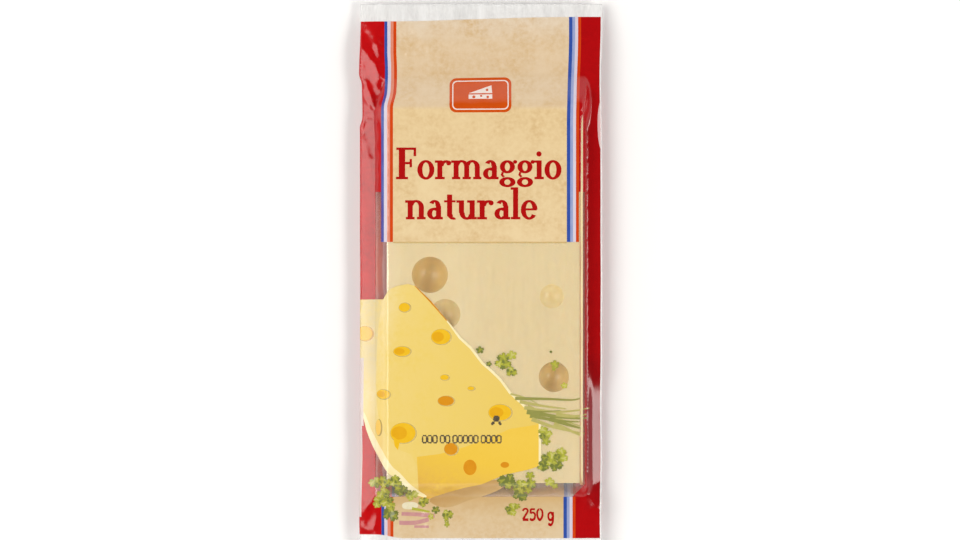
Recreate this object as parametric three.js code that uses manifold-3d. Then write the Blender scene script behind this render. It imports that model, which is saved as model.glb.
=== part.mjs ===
// A film packet of hard cheese: one flat block with round eyes, held between a formed back web and a
// flat front web that are welded together on a flange all round, with a long plain header at the top.
// It lies on its back: +Z points out of the printed front, +Y towards the header. Millimetres.

import * as THREE from 'three';
import { mergeVertices } from 'three/addons/utils/BufferGeometryUtils.js';
import Module from 'manifold-3d';

const wasm = await Module();
wasm.setup();

// ---- driving dimensions -------------------------------------------------------------------------

const CHEESE = { width: 86, length: 166, thickness: 16.4, corner: 1.6, edge: 0.7 };

// Film beyond the cheese on each side: the shoulder falls from the cheese to the weld, and the flange
// is the welded margin outside it.
const SHOULDER = { left: 5.2, right: 3.6, top: 14, bottom: 6.6, corner: 7 };
const FLANGE = { left: 6.6, right: 4.8, top: 30.8, bottom: 22.8, corner: 0.8 };

const FILM = 0.4; // wall of a web
const CLEARANCE = 0.3; // between two pieces that touch
const SEAM_HEIGHT = 8.6; // underside of the flange above the surface the packet lies on
const ARC_STEPS = 6; // straight pieces in each rounded corner
const SHOULDER_STEPS = 4; // rings between the cheese and the weld
const SHOULDER_CROWN = 0.9; // how far a shoulder bulges outwards

// Eyes, the round gas holes that the faces cut open: place from the cheese's centre, radius, and how
// far the eye's centre lies below the face. An eye centred above the face leaves a shallow dish.
const FRONT_EYES = [
  { x: -24.1, y: 8.4, radius: 8.2, depth: 2.2 },
  { x: -17.4, y: -8.9, radius: 7.2, depth: -2.6 },
  { x: 29.4, y: -1.1, radius: 6.6, depth: -4.0 },
  { x: 30.3, y: -36.4, radius: 6.8, depth: 1.6 },
  { x: -12.0, y: -58.0, radius: 6.2, depth: 1.5 },
];
const BACK_EYES = [
  { x: -20.0, y: 42.0, radius: 6.6, depth: 2.0 },
  { x: 14.0, y: 22.0, radius: 7.4, depth: 1.8 },
  { x: 2.0, y: -30.0, radius: 5.6, depth: 1.4 },
  { x: 26.0, y: -64.0, radius: 5.0, depth: -2.6 },
  { x: 27.0, y: 62.0, radius: 4.4, depth: 1.0 },
];
const EYE_STEPS = 24;

const COLOURS = { cheese: 0xe6d19f, front: 0xb5161a, back: 0xa81a1c };

// ---- places that follow from them ---------------------------------------------------------------

// A rectangle seen from the front, as its two sides and two ends, with its corner radius.
const rectangle = (left, right, bottom, top, corner) => ({ left, right, bottom, top, corner });

const grown = (r, by) =>
  rectangle(r.left - by.left, r.right + by.right, r.bottom - by.bottom, r.top + by.top, by.corner);

const grownEvenly = (r, by) =>
  grown(r, { left: by, right: by, bottom: by, top: by, corner: r.corner + by });

const packetWidth = FLANGE.left + SHOULDER.left + CHEESE.width + SHOULDER.right + FLANGE.right
  + 2 * CLEARANCE;
const packetLength = FLANGE.bottom + SHOULDER.bottom + CHEESE.length + SHOULDER.top + FLANGE.top
  + 2 * CLEARANCE;

const cheeseLeft = -packetWidth / 2 + FLANGE.left + SHOULDER.left + CLEARANCE;
const cheeseBottom = -packetLength / 2 + FLANGE.bottom + SHOULDER.bottom + CLEARANCE;
const cheeseOutline = rectangle(cheeseLeft, cheeseLeft + CHEESE.width, cheeseBottom,
  cheeseBottom + CHEESE.length, CHEESE.corner);
const pocketOutline = grownEvenly(cheeseOutline, CLEARANCE);
const mouthOutline = grown(pocketOutline, SHOULDER);
const packetOutline = grown(mouthOutline, FLANGE);

const cheeseFloor = FILM + CLEARANCE;
const cheeseTop = cheeseFloor + CHEESE.thickness;
const backFlange = SEAM_HEIGHT;
const frontFlange = backFlange + FILM + CLEARANCE;
const frontPanel = cheeseTop + CLEARANCE; // inner face of the front web over the cheese

// ---- solids -------------------------------------------------------------------------------------

function outlinePoints({ left, right, bottom, top, corner }) {
  const centres = [
    [right - corner, top - corner, 0],
    [left + corner, top - corner, Math.PI / 2],
    [left + corner, bottom + corner, Math.PI],
    [right - corner, bottom + corner, Math.PI * 1.5],
  ];
  return centres.flatMap(([x, y, start]) =>
    Array.from({ length: ARC_STEPS + 1 }, (_, i) => {
      const angle = start + (i / ARC_STEPS) * (Math.PI / 2);
      return new THREE.Vector2(x + corner * Math.cos(angle), y + corner * Math.sin(angle));
    }));
}

// A closed solid through a stack of outlines, each { z, outline }, from the lowest to the highest.
function loft(rings) {
  const loops = rings.map(({ outline }) => outlinePoints(outline));
  const count = loops[0].length;
  const positions = loops.flatMap((loop, k) => loop.flatMap((p) => [p.x, p.y, rings[k].z]));
  const index = [];
  for (let k = 0; k + 1 < loops.length; k += 1) {
    for (let i = 0; i < count; i += 1) {
      const j = (i + 1) % count;
      const [a, b] = [k * count + i, k * count + j];
      const [c, d] = [a + count, b + count];
      index.push(a, b, d, a, d, c);
    }
  }
  const cap = (loop, first, upward) => {
    for (const [a, b, c] of THREE.ShapeUtils.triangulateShape(loop, [])) {
      index.push(first + a, first + (upward ? b : c), first + (upward ? c : b));
    }
  };
  cap(loops[0], 0, false);
  cap(loops.at(-1), (loops.length - 1) * count, true);
  const geometry = new THREE.BufferGeometry();
  geometry.setAttribute('position', new THREE.Float32BufferAttribute(positions, 3));
  geometry.setIndex(index);
  return geometry;
}

function toManifold(geometry) {
  const bare = geometry.clone();
  bare.deleteAttribute('normal');
  bare.deleteAttribute('uv');
  const merged = mergeVertices(bare, 1e-4);
  return new wasm.Manifold(new wasm.Mesh({
    numProp: 3,
    vertProperties: new Float32Array(merged.attributes.position.array),
    triVerts: new Uint32Array(merged.index.array),
  }));
}

function toGeometry(solid) {
  const { vertProperties, triVerts } = solid.getMesh();
  const geometry = new THREE.BufferGeometry();
  geometry.setAttribute('position', new THREE.Float32BufferAttribute(vertProperties, 3));
  geometry.setIndex(new THREE.Uint32BufferAttribute(triVerts, 1));
  geometry.computeVertexNormals();
  return geometry;
}

// The outline a share of the way from the pocket to the weld, with the shoulder's outward bulge.
function between(inner, outer, share) {
  const crown = SHOULDER_CROWN * Math.sin(share * Math.PI);
  const mix = (key, sign) => THREE.MathUtils.lerp(inner[key], outer[key], share) + sign * crown;
  return rectangle(mix('left', -1), mix('right', 1), mix('bottom', -1), mix('top', 1),
    THREE.MathUtils.lerp(inner.corner, outer.corner, share));
}

// Rings of the shoulder, from the pocket's end at one height to the mouth at another.
function shoulderRings(pocketHeight, mouthHeight, wall) {
  const inner = grownEvenly(pocketOutline, wall);
  const outer = grownEvenly(mouthOutline, wall);
  return Array.from({ length: SHOULDER_STEPS + 1 }, (_, i) => {
    const share = i / SHOULDER_STEPS;
    return {
      z: THREE.MathUtils.lerp(pocketHeight, mouthHeight, share),
      outline: between(inner, outer, share),
    };
  });
}

const plate = (outline, low, high) => loft([{ z: low, outline }, { z: high, outline }]);

// A web is its flange and its shell, less the space inside the shell. The space runs past the flange
// so that the web is open towards the other web.
function web(flangeHeight, shellRings, spaceRings) {
  const flange = toManifold(plate(packetOutline, flangeHeight, flangeHeight + FILM));
  const shell = toManifold(loft(shellRings));
  const space = toManifold(loft(spaceRings));
  return toGeometry(flange.add(shell).subtract(space));
}

function backWeb() {
  const flangeTop = backFlange + FILM;
  const shell = shoulderRings(0, flangeTop, FILM);
  const space = shoulderRings(FILM, flangeTop, 0);
  space.push({ z: flangeTop + CLEARANCE, outline: mouthOutline });
  return web(backFlange, shell, space);
}

function frontWeb() {
  const shell = shoulderRings(frontPanel + FILM, frontFlange, FILM).reverse();
  const space = shoulderRings(frontPanel, frontFlange, 0).reverse();
  space.unshift({ z: frontFlange - CLEARANCE, outline: mouthOutline });
  return web(frontFlange, shell, space);
}

function eyeBall(x, y, z, radius) {
  const ball = new THREE.SphereGeometry(radius, EYE_STEPS, EYE_STEPS / 2);
  ball.rotateX(Math.PI / 2);
  ball.translate(x, y, z);
  return toManifold(ball);
}

function cheeseBlock() {
  const inset = grownEvenly(cheeseOutline, -CHEESE.edge);
  const block = toManifold(loft([
    { z: cheeseFloor, outline: inset },
    { z: cheeseFloor + CHEESE.edge, outline: cheeseOutline },
    { z: cheeseTop - CHEESE.edge, outline: cheeseOutline },
    { z: cheeseTop, outline: inset },
  ]));
  const centreX = (cheeseOutline.left + cheeseOutline.right) / 2;
  const centreY = (cheeseOutline.bottom + cheeseOutline.top) / 2;
  const eyes = [
    ...FRONT_EYES.map((eye) => ({ ...eye, z: cheeseTop - eye.depth })),
    ...BACK_EYES.map((eye) => ({ ...eye, z: cheeseFloor + eye.depth })),
  ].map(({ x, y, z, radius }) => eyeBall(centreX + x, centreY + y, z, radius));
  return toGeometry(eyes.reduce((solid, eye) => solid.subtract(eye), block));
}

// ---- the packet ---------------------------------------------------------------------------------

const material = (color, roughness) =>
  new THREE.MeshStandardMaterial({ color, roughness, metalness: 0 });

function piece(name, geometry, finish) {
  const mesh = new THREE.Mesh(geometry, finish);
  mesh.name = name;
  return mesh;
}

const packet = new THREE.Group();
packet.add(
  piece('cheese_block', cheeseBlock(), material(COLOURS.cheese, 0.5)),
  piece('front_film', frontWeb(), material(COLOURS.front, 0.25)),
  piece('back_film', backWeb(), material(COLOURS.back, 0.25)),
);

export default packet;
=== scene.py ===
"""A film packet of hard cheese, lying on its back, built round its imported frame.

A flat block of pale cheese with round eyes lies between two webs of glossy film that are welded
together on a flange all round. The front web is printed and has a clear window. Lengths in the
functions that shape the film and its print are millimetres, measured from the packet's middle.
"""

import math

import bpy
import numpy as np
from bpy.props import FloatProperty, FloatVectorProperty, IntProperty, PointerProperty
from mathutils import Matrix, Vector, kdtree
from mathutils.geometry import delaunay_2d_cdt


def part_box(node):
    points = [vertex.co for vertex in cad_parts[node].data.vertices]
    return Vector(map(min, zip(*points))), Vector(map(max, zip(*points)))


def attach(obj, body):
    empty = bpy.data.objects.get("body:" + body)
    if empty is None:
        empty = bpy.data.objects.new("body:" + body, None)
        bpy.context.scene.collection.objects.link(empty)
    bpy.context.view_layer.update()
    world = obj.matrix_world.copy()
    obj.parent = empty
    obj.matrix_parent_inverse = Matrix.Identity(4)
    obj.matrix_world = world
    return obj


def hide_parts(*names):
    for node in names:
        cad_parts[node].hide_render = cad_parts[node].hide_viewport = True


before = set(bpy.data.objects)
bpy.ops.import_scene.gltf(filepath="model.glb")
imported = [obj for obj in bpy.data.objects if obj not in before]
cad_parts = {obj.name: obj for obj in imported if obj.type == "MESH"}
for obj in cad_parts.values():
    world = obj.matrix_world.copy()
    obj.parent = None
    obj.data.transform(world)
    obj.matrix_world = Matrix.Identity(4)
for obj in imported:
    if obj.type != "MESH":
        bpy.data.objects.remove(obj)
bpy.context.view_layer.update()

bl_info = {
    "name": "Film packet of cheese",
    "version": (1, 0, 0),
    "blender": (4, 5, 0),
    "location": "View3D > Sidebar > Packet",
    "description": "Builds a film packet with a block of cheese in it",
    "category": "Add Mesh",
}

MM = 0.001


def in_mm(corners):
    """Two corners of a box, in millimetres."""
    return [np.array(corner) / MM for corner in corners]


CHEESE = in_mm(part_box("cheese_block"))
FRONT = in_mm(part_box("front_film"))
BACK = in_mm(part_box("back_film"))
PACKET_LOW, PACKET_HIGH = FRONT[0][:2], FRONT[1][:2]
PACKET_SPAN = (PACKET_LOW[0] - 0.4, PACKET_HIGH[0] + 0.4)
WALL = 0.12  # thickness of a web


# ---- settings ------------------------------------------------------------------------------------


def length(name, description, default):
    """A length that a user can change, shown in the scene's unit."""
    return FloatProperty(
        name=name, description=description, default=default * MM, min=0, unit="LENGTH", precision=5
    )


def srgb(code):
    """The linear colour of an sRGB hex value."""
    parts = [int(code[i : i + 2], 16) / 255 for i in (1, 3, 5)]
    linear = [c / 12.92 if c <= 0.04045 else ((c + 0.055) / 1.055) ** 2.4 for c in parts]
    return (*linear, 1.0)


def colour(name, description, code):
    """A colour that a user can change."""
    return FloatVectorProperty(
        name=name, description=description, default=srgb(code), size=4, min=0, max=1,
        subtype="COLOR",
    )


class CheeseSettings(bpy.types.PropertyGroup):
    """The block of cheese."""

    rim: length("Eye rim", "Rounding where an eye meets a cut face", 0.3)
    eye_segments: IntProperty(
        name="Eye segments", description="Steps round each eye", default=72, min=12, max=128
    )
    paste: colour("Paste", "Colour of the cut cheese", "#ecd9a8")
    # the lining's colour deep in an eye, darker than the paste: painted shade
    deep: colour("Eye lining", "Colour of the shiny lining inside an eye", "#e8c468")


class FilmSettings(bpy.types.PropertyGroup):
    """Both webs of film."""

    thickness: length("Film", "Thickness of a web", WALL)
    shoulder_left: length("Left shoulder", "Film from the cheese to the left weld", 5.2)
    shoulder_right: length("Right shoulder", "Film from the cheese to the right weld", 3.6)
    shoulder_top: length("Top shoulder", "Film from the cheese to the top weld", 14.0)
    shoulder_bottom: length("Bottom shoulder", "Film from the cheese to the bottom weld", 6.6)
    grid: length("Grid", "Spacing of the film's mesh", 1.0)
    crumple: FloatProperty(
        name="Crumple", description="How deep the folds in the film are", default=1.0, min=0, max=3
    )


class CodeSettings(bpy.types.PropertyGroup):
    """The date code that is sprayed on the film as dots."""

    dot: length("Dot", "Width of one dot of ink", 0.68)
    across: length("Step across", "From dot to dot in a row", 0.44)
    up: length("Step up", "From row to row", 0.52)
    ink: colour("Ink", "Colour of the sprayed ink", "#3a2f1e")


class StageSettings(bpy.types.PropertyGroup):
    """Camera, lights and floor."""

    camera_height: FloatProperty(
        name="Camera height", description="Camera above the floor", default=1.6, min=0.3,
        unit="LENGTH",
    )
    view_width: FloatProperty(
        name="View width", description="Width of the picture at the packet", default=0.4212,
        min=0.1, unit="LENGTH",
    )
    lamp: FloatProperty(
        name="Lamp", description="Strength of the soft lamps", default=1.0, min=0, max=10
    )


# ---- nodes and meshes ----------------------------------------------------------------------------


def add(tree, kind, inputs=None, **settings):
    """Adds a node. settings are its own values; inputs sets its sockets to values or links them."""
    node = tree.nodes.new(kind)
    for name, value in settings.items():
        setattr(node, name, value)
    for name, value in (inputs or {}).items():
        if isinstance(value, bpy.types.NodeSocket):
            tree.links.new(value, node.inputs[name])
        else:
            node.inputs[name].default_value = value
    return node


def new_material(name, surface):
    """A material. surface is a function that makes its shader from a tree and a place in it.

    The place is in Object coordinates, which stay put on the packet.
    """
    material = bpy.data.materials.new(name)
    material.use_nodes = True
    tree = material.node_tree
    tree.nodes.clear()
    shader = surface(tree, add(tree, "ShaderNodeTexCoord").outputs["Object"])
    add(tree, "ShaderNodeOutputMaterial", {"Surface": shader.outputs[0]})
    return material


def new_tree(name, inputs):
    """A Geometry Nodes tree from points and named inputs to a mesh, and its inputs' sockets."""
    tree = bpy.data.node_groups.new(name, "GeometryNodeTree")
    for label, kind in {"Geometry": "Geometry", **inputs}.items():
        tree.interface.new_socket(label, in_out="INPUT", socket_type="NodeSocket" + kind)
    tree.interface.new_socket("Geometry", in_out="OUTPUT", socket_type="NodeSocketGeometry")
    return tree, add(tree, "NodeGroupInput").outputs


def new_object(name, mesh):
    """An object of a mesh, at the origin, in the scene."""
    made = bpy.data.objects.new(name, mesh)
    bpy.context.scene.collection.objects.link(made)
    return made


def settle(piece, slot, *nodes):
    """Hands a finished piece to the frame: it rides on the packet and stands for its nodes."""
    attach(piece, "root")
    if nodes:
        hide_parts(*nodes)


def applied(piece):
    """Makes the piece a plain mesh with its modifiers applied."""
    graph = bpy.context.evaluated_depsgraph_get()
    mesh = bpy.data.meshes.new_from_object(piece.evaluated_get(graph))
    piece.modifiers.clear()
    piece.data = mesh
    mesh.name = piece.name


def run_tree(piece, tree, values):
    """Runs a Geometry Nodes tree on a piece, with values for its inputs by name, and applies it."""
    modifier = piece.modifiers.new(tree.name, "NODES")
    modifier.node_group = tree
    for item in tree.interface.items_tree:
        if item.in_out == "INPUT" and item.name in values:
            modifier[item.identifier] = values[item.name]
    applied(piece)


# ---- the shape of the film -----------------------------------------------------------------------

SEAM = BACK[1][2] + 0.15  # height of the weld between the webs
PANEL = CHEESE[1][2] + 0.2  # front web over the cheese
FLOOR_GAP = 0.05  # back web under the cheese, above the floor
WEB_GAP = 0.14  # from the front web down to the back web's inner face, along the weld
LEFT_DROOP = 1.4  # how far the welded margins hang at their edges
RIGHT_DROOP = 2.3
FOOT_DROOP = 1.3
HEADER_DROOP = 3.0
BACK_GRID = 1.3  # the back web's mesh is this much coarser than the front's

# Where each margin begins to hang, and how far it is from there to the packet's edge.
LEFT_MARGIN, RIGHT_MARGIN, SIDE_REACH = -46.5, 45.8, 7
HEADER, HEADER_REACH = 88, 32
FOOT, FOOT_REACH = 98, 22
WELD = (114, 116)  # the plain weld at each end begins and is full here
RIDGE_HEIGHT, RIDGE_SPACING = 0.06, 1.6  # ridges that the sealing bars leave in it

# Random shapes in the film: the spacing of their bumps, and their seed.
MARGIN_WAVES, END_WAVES, EDGE_WAVES = (21, 5), (38, 6), (46, 41)
GATHER_CREASES, EDGE_CREASES = (11, 11), (6, 14)
BROAD_CREASES, FINE_CREASES, TAUT_CREASES = (17, 12), (7, 13), (9, 21)
FRONT_RIPPLES, BACK_RIPPLES = (9, 22), (10, 32)

# How high those shapes stand. The front's ripples are lower at its top and along its right side.
GATHERED, CREASED_EDGE, BROADLY_CREASED, FINELY_CREASED, TAUT = 0.4, 0.16, 0.22, 0.1, 0.05
FRONT_RIPPLE, TOP_RIPPLE_LOSS, RIGHT_RIPPLE_LOSS, BACK_RIPPLE = 0.3, 0.2, 0.28, 0.25

# The film is drawn in at the upper left: how far it moves right, its notch and its slant.
PULL, SECOND_PULL, RIGHT_PULL = 1.3, 0.3, 1.2
NOTCH, NOTCH_PLACE, NOTCH_HALF = 1.3, 78, 10.5
SLANT, FOOT_SLANT, FOOT_SLANT_RISE = 2.0, 0.9, 1.6

# Folds: start, end, half width and height. They cross the header's upper left, where the film is
# gathered, and run out from the block's corners.
FOLDS = [
    ((-53, 104), (-42, 84), 2.0, 0.9),
    ((-50, 113), (-45, 96), 1.6, 0.7),
    ((-46, 92), (-41, 66), 1.7, -0.7),
    ((-53, 88), (-45, 70), 1.8, 0.9),
    ((-53, 66), (-47, 40), 2.6, 0.4),
    ((-36, 118), (-18, 96), 3.2, 0.4),
    ((-30, 92), (12, 88), 4.0, 0.3),
    ((20, 116), (38, 92), 3.4, 0.35),
    ((44, -92), (53, -104), 2.4, 0.8),
    ((-44, -92), (-53, -106), 2.4, 0.8),
    ((-40, -100), (-30, -119), 3.0, 0.4),
    ((8, -100), (16, -119), 3.0, 0.3),
]


def smooth(low, high, value):
    """0 at low, 1 at high, and smooth between; low may be the greater."""
    t = np.clip((value - low) / (high - low), 0, 1)
    return t * t * (3 - 2 * t)


def eased(share):
    """A nearly straight ramp from 0 to 1, rounded at both ends."""
    t = np.clip(share, 0, 1)
    return 0.55 * t + 0.45 * (0.5 - 0.5 * np.cos(np.pi * t))


def waves(x, y, spacing, seed, stretch=1.0, count=14):
    """Smooth random height from about -1 to 1, with bumps that far apart, longer along y."""
    random = np.random.default_rng(seed)
    turn = random.uniform(0, 2 * np.pi, count)
    rate = 2 * np.pi / (spacing * random.uniform(0.7, 1.4, count))
    phase = random.uniform(0, 2 * np.pi, count)
    along = x[:, None] * np.cos(turn) + y[:, None] / stretch * np.sin(turn)
    return np.sin(rate * along + phase).sum(1) / math.sqrt(count)


def creased(x, y, spacing, seed, stretch=1.0):
    """Random height like film that has been crushed: smooth facets that meet in sharp lines."""
    return 0.6 - np.abs(waves(x, y, spacing, seed, stretch))


def fold(x, y, start, end, half_width):
    """Height of one straight fold, 1 along its line and 0 away from it."""
    (ax, ay), (bx, by) = start, end
    run = np.array([bx - ax, by - ay], float)
    size = np.linalg.norm(run)
    run /= size
    along = (x - ax) * run[0] + (y - ay) * run[1]
    off = np.abs((x - ax) * -run[1] + (y - ay) * run[0]) / half_width
    ends = smooth(-0.25 * size, 0.3 * size, along) * (1 - smooth(0.7 * size, 1.25 * size, along))
    return np.exp(-(off**1.4)) * ends


def tight(share):
    """A ramp from 0 to 1 that falls steeply at first and then runs out almost level."""
    t = np.clip(share, 0, 1)
    return 0.93 * smooth(-0.08, 0.42, t) + 0.07 * t


class Surface:
    """Heights of the two webs over the packet, from the frame and the film's settings."""

    def __init__(self, film):
        self.crumple = film.crumple
        low = [film.shoulder_left / MM, film.shoulder_bottom / MM]
        high = [film.shoulder_right / MM, film.shoulder_top / MM]
        self.low, self.high = np.array(low), np.array(high)

    def share(self, x, y):
        """0 over the cheese, 1 at the weld's inner edge, and more beyond it."""
        left, bottom = CHEESE[0][:2]
        right, top = CHEESE[1][:2]
        across = np.maximum((left - x) / self.low[0], (x - right) / self.high[0])
        along = np.maximum((bottom - y) / self.low[1], (y - top) / self.high[1])
        return np.hypot(np.maximum(across, 0), np.maximum(along, 0))

    def flange(self, x, y):
        """Height that the welded margin adds to both webs: it hangs at its edges and ripples."""
        left = np.maximum(LEFT_MARGIN - x, 0) / SIDE_REACH
        right = np.maximum(x - RIGHT_MARGIN, 0) / SIDE_REACH
        end = np.maximum(y - HEADER, 0) / HEADER_REACH
        foot = np.maximum(-y - FOOT, 0) / FOOT_REACH
        fallen = RIGHT_DROOP * right * smooth(-36, -58, y) * smooth(-99, -90, y)
        height = -LEFT_DROOP * left - fallen
        height -= HEADER_DROOP * end**2 + FOOT_DROOP * foot**2
        height += (left + 0.2 * right) * 0.3 * waves(x * 0.2, y, *MARGIN_WAVES)
        height += (end + foot) * 0.4 * waves(x, y * 0.5, *END_WAVES)
        strip = smooth(*WELD, y) + smooth(*WELD, -y)
        return height + strip * RIDGE_HEIGHT * np.sin(2 * np.pi * y / RIDGE_SPACING)

    def folds(self, x, y):
        """The folds, and the small facets of handled film in the margins."""
        height = sum(size * fold(x, y, a, b, half) for a, b, half, size in FOLDS)
        gathered = smooth(34, 50, -x) * smooth(56, 84, y)
        height = height + gathered * GATHERED * creased(x, y, *GATHER_CREASES)
        height += smooth(44, 52, -x) * CREASED_EDGE * creased(x, y, *EDGE_CREASES, stretch=9)
        quiet = smooth(20, 40, np.abs(x)) * (1 - smooth(60, 84, -x + 0.5 * y))
        margin = smooth(0.5, 1.1, self.share(x, y)) * (1 - 0.8 * quiet * smooth(-98, -86, y))
        height += margin * (
            BROADLY_CREASED * creased(x, y, *BROAD_CREASES)
            + FINELY_CREASED * creased(x, y, *FINE_CREASES)
        )
        return self.crumple * height

    def front(self, x, y):
        """Height of the front web."""
        share = self.share(x, y)
        right = smooth(43, 45, x) * (1 - smooth(64, 80, y)) * smooth(-96, -86, y)
        fall = eased(share) * (1 - right) + tight(share) * right
        free = smooth(0.6, 1.2, share)
        height = PANEL + (SEAM - PANEL) * fall
        height += free * self.flange(x, y) + smooth(0.1, 0.9, share) * self.folds(x, y)
        taut = 1 - smooth(0.0, 0.5, share)
        height += taut * self.crumple * TAUT * (1 + creased(x, y, *TAUT_CREASES, stretch=7))
        depth = FRONT_RIPPLE - TOP_RIPPLE_LOSS * smooth(70, 78, y)
        depth = depth - RIGHT_RIPPLE_LOSS * smooth(40, 44, x)
        ripple = np.sin(np.pi * np.clip(share, 0, 1)) * depth
        return height + ripple * waves(x, y, *FRONT_RIPPLES)

    def back(self, x, y):
        """Height of the back web's inner face."""
        share = self.share(x, y)
        fall = np.sin(0.5 * np.pi * np.clip(share, 0, 1) ** 1.4)
        free = smooth(0.6, 1.2, share)
        low = FLOOR_GAP + WALL
        height = low + (SEAM - WEB_GAP - low) * fall
        height += free * (self.flange(x, y) + self.folds(x, y))
        ripple = np.sin(np.pi * np.clip(share, 0, 1)) * BACK_RIPPLE
        return height + ripple * waves(x, y, *BACK_RIPPLES)

    def gather(self, x, y):
        """Where a point of the flat print lands once the film is drawn in at its edges."""
        from_edge = x - PACKET_LOW[0]
        left = smooth(0, 8, from_edge) * (1 - smooth(-40, -14, x))
        right = smooth(14, 38, x) * (1 - smooth(47, 53, x))
        pulled = PULL * smooth(74, 82, y) + SECOND_PULL * np.exp(-(((y - 90) / 8) ** 4))
        notch = NOTCH * np.exp(-(((y - NOTCH_PLACE) / NOTCH_HALF) ** 8))
        notch = notch * (1 - smooth(0, 7, from_edge))
        edge = np.clip(1 - np.abs(np.abs(x) - PACKET_HIGH[0]) / 6, 0, 1)
        moved_x = x + pulled * left + RIGHT_PULL * right * smooth(66, 108, y) + notch
        moved_x = moved_x + 0.22 * edge * waves(x * 0, y, *EDGE_WAVES)
        slant = SLANT * (1 - smooth(-44, 44, x)) * smooth(60, 112, y)
        slant = slant * (1 - smooth(114.5, 120, y))
        foot = smooth(-104, -112, y) * (1 - smooth(-113.5, -120.4, y))
        slant = slant + foot * (FOOT_SLANT + FOOT_SLANT_RISE * smooth(-46, -34, x))
        return np.clip(moved_x, *PACKET_SPAN), y - slant


# ---- outlines of the print -----------------------------------------------------------------------


def rectangle(left, bottom, right, top):
    """The outline of an upright rectangle."""
    return [(left, bottom), (right, bottom), (right, top), (left, top)]


def rounded(left, bottom, right, top, radius, steps=6):
    """The outline of an upright rectangle with round corners."""
    corners = [
        (right - radius, top - radius, 0),
        (left + radius, top - radius, 90),
        (left + radius, bottom + radius, 180),
        (right - radius, bottom + radius, 270),
    ]
    return [
        (x + radius * math.cos(a), y + radius * math.sin(a))
        for x, y, start in corners
        for a in (math.radians(start + 90 * i / steps) for i in range(steps + 1))
    ]


def ellipse(x, y, across, up, steps=28, turn=0.0):
    """The outline of an ellipse with those half widths, turned by some degrees."""
    c, s = math.cos(math.radians(turn)), math.sin(math.radians(turn))
    points = []
    for i in range(steps):
        angle = 2 * math.pi * i / steps
        u, v = across * math.cos(angle), up * math.sin(angle)
        points.append((x + u * c - v * s, y + u * s + v * c))
    return points


def rounded_path(points, rounds=2):
    """A closed outline with its corners cut smooth."""
    for _ in range(rounds):
        ring = points[1:] + points[:1]
        points = [
            (a[0] * (1 - t) + b[0] * t, a[1] * (1 - t) + b[1] * t)
            for a, b in zip(points, ring)
            for t in (0.25, 0.75)
        ]
    return points


def band(points, widths):
    """The outline of a stripe along a line of points, with its width at each."""
    sides = ([], [])
    for i, (x, y) in enumerate(points):
        before, after = points[max(i - 1, 0)], points[min(i + 1, len(points) - 1)]
        run = math.atan2(after[1] - before[1], after[0] - before[0])
        nx, ny = -math.sin(run) * widths[i] / 2, math.cos(run) * widths[i] / 2
        sides[0].append((x + nx, y + ny))
        sides[1].append((x - nx, y - ny))
    return sides[0] + sides[1][::-1]


def along(points, steps=5):
    """A smooth line through a few points."""
    ends = [points[0], *points, points[-1]]
    line = []
    for a, b, c, d in zip(ends, ends[1:], ends[2:], ends[3:]):
        for i in range(steps):
            t = i / steps
            weights = (
                -0.5 * t + t**2 - 0.5 * t**3,
                1 - 2.5 * t**2 + 1.5 * t**3,
                0.5 * t + 2 * t**2 - 1.5 * t**3,
                -0.5 * t**2 + 0.5 * t**3,
            )
            line.append(tuple(sum(w * p[k] for w, p in zip(weights, (a, b, c, d))) for k in (0, 1)))
    return [*line, points[-1]]


def leaf(x, y, size, turn):
    """The outline of a curly parsley leaf: five round lobes with toothed edges."""
    points = []
    for i in range(40):
        angle = 2 * math.pi * i / 40
        lobes = abs(math.cos(2.5 * angle)) ** 0.5
        reach = 0.5 * size * (0.5 + 0.54 * lobes) * (1 + 0.09 * math.cos(20 * angle))
        points.append(
            (x + reach * math.cos(angle + turn), y + 0.9 * reach * math.sin(angle + turn))
        )
    return points


# Letters with slab feet, on a grid where a lower-case letter is 10 high. Each is a list of outlines
# and its width.

STEM, THIN, SLAB = 2.7, 1.3, 1.3
TALL = 16.8  # height of capitals and of tall stems


def bow(x, y, across, up, start, end, steps=20):
    """Part of a letter's round stroke, thick at the sides and thin at the top and bottom."""
    angles = [math.radians(start + (end - start) * i / steps) for i in range(steps + 1)]
    outer = [(x + across * math.cos(a), y + up * math.sin(a)) for a in angles]
    inner = [
        (x + (across - STEM) * math.cos(a), y + (up - THIN) * math.sin(a)) for a in angles[::-1]
    ]
    return outer + inner


def slab(x, y, width):
    """A foot or head of a stem, centred on x, with its lower edge at y."""
    return rectangle(x - width / 2, y, x + width / 2, y + SLAB)


def post(x, low, high):
    """A stem, centred on x."""
    return rectangle(x - STEM / 2, low, x + STEM / 2, high)


def flag(x, high):
    """The slab at the left of a stem's head."""
    return rectangle(x - STEM / 2 - 1.3, high - SLAB, x, high)


def shoulder(left, right):
    """The arch that joins two stems of a lower-case letter."""
    middle, half = (left + right) / 2, (right - left + STEM) / 2
    return bow(middle, 6.4, half, 3.8, 0, 160)


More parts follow.
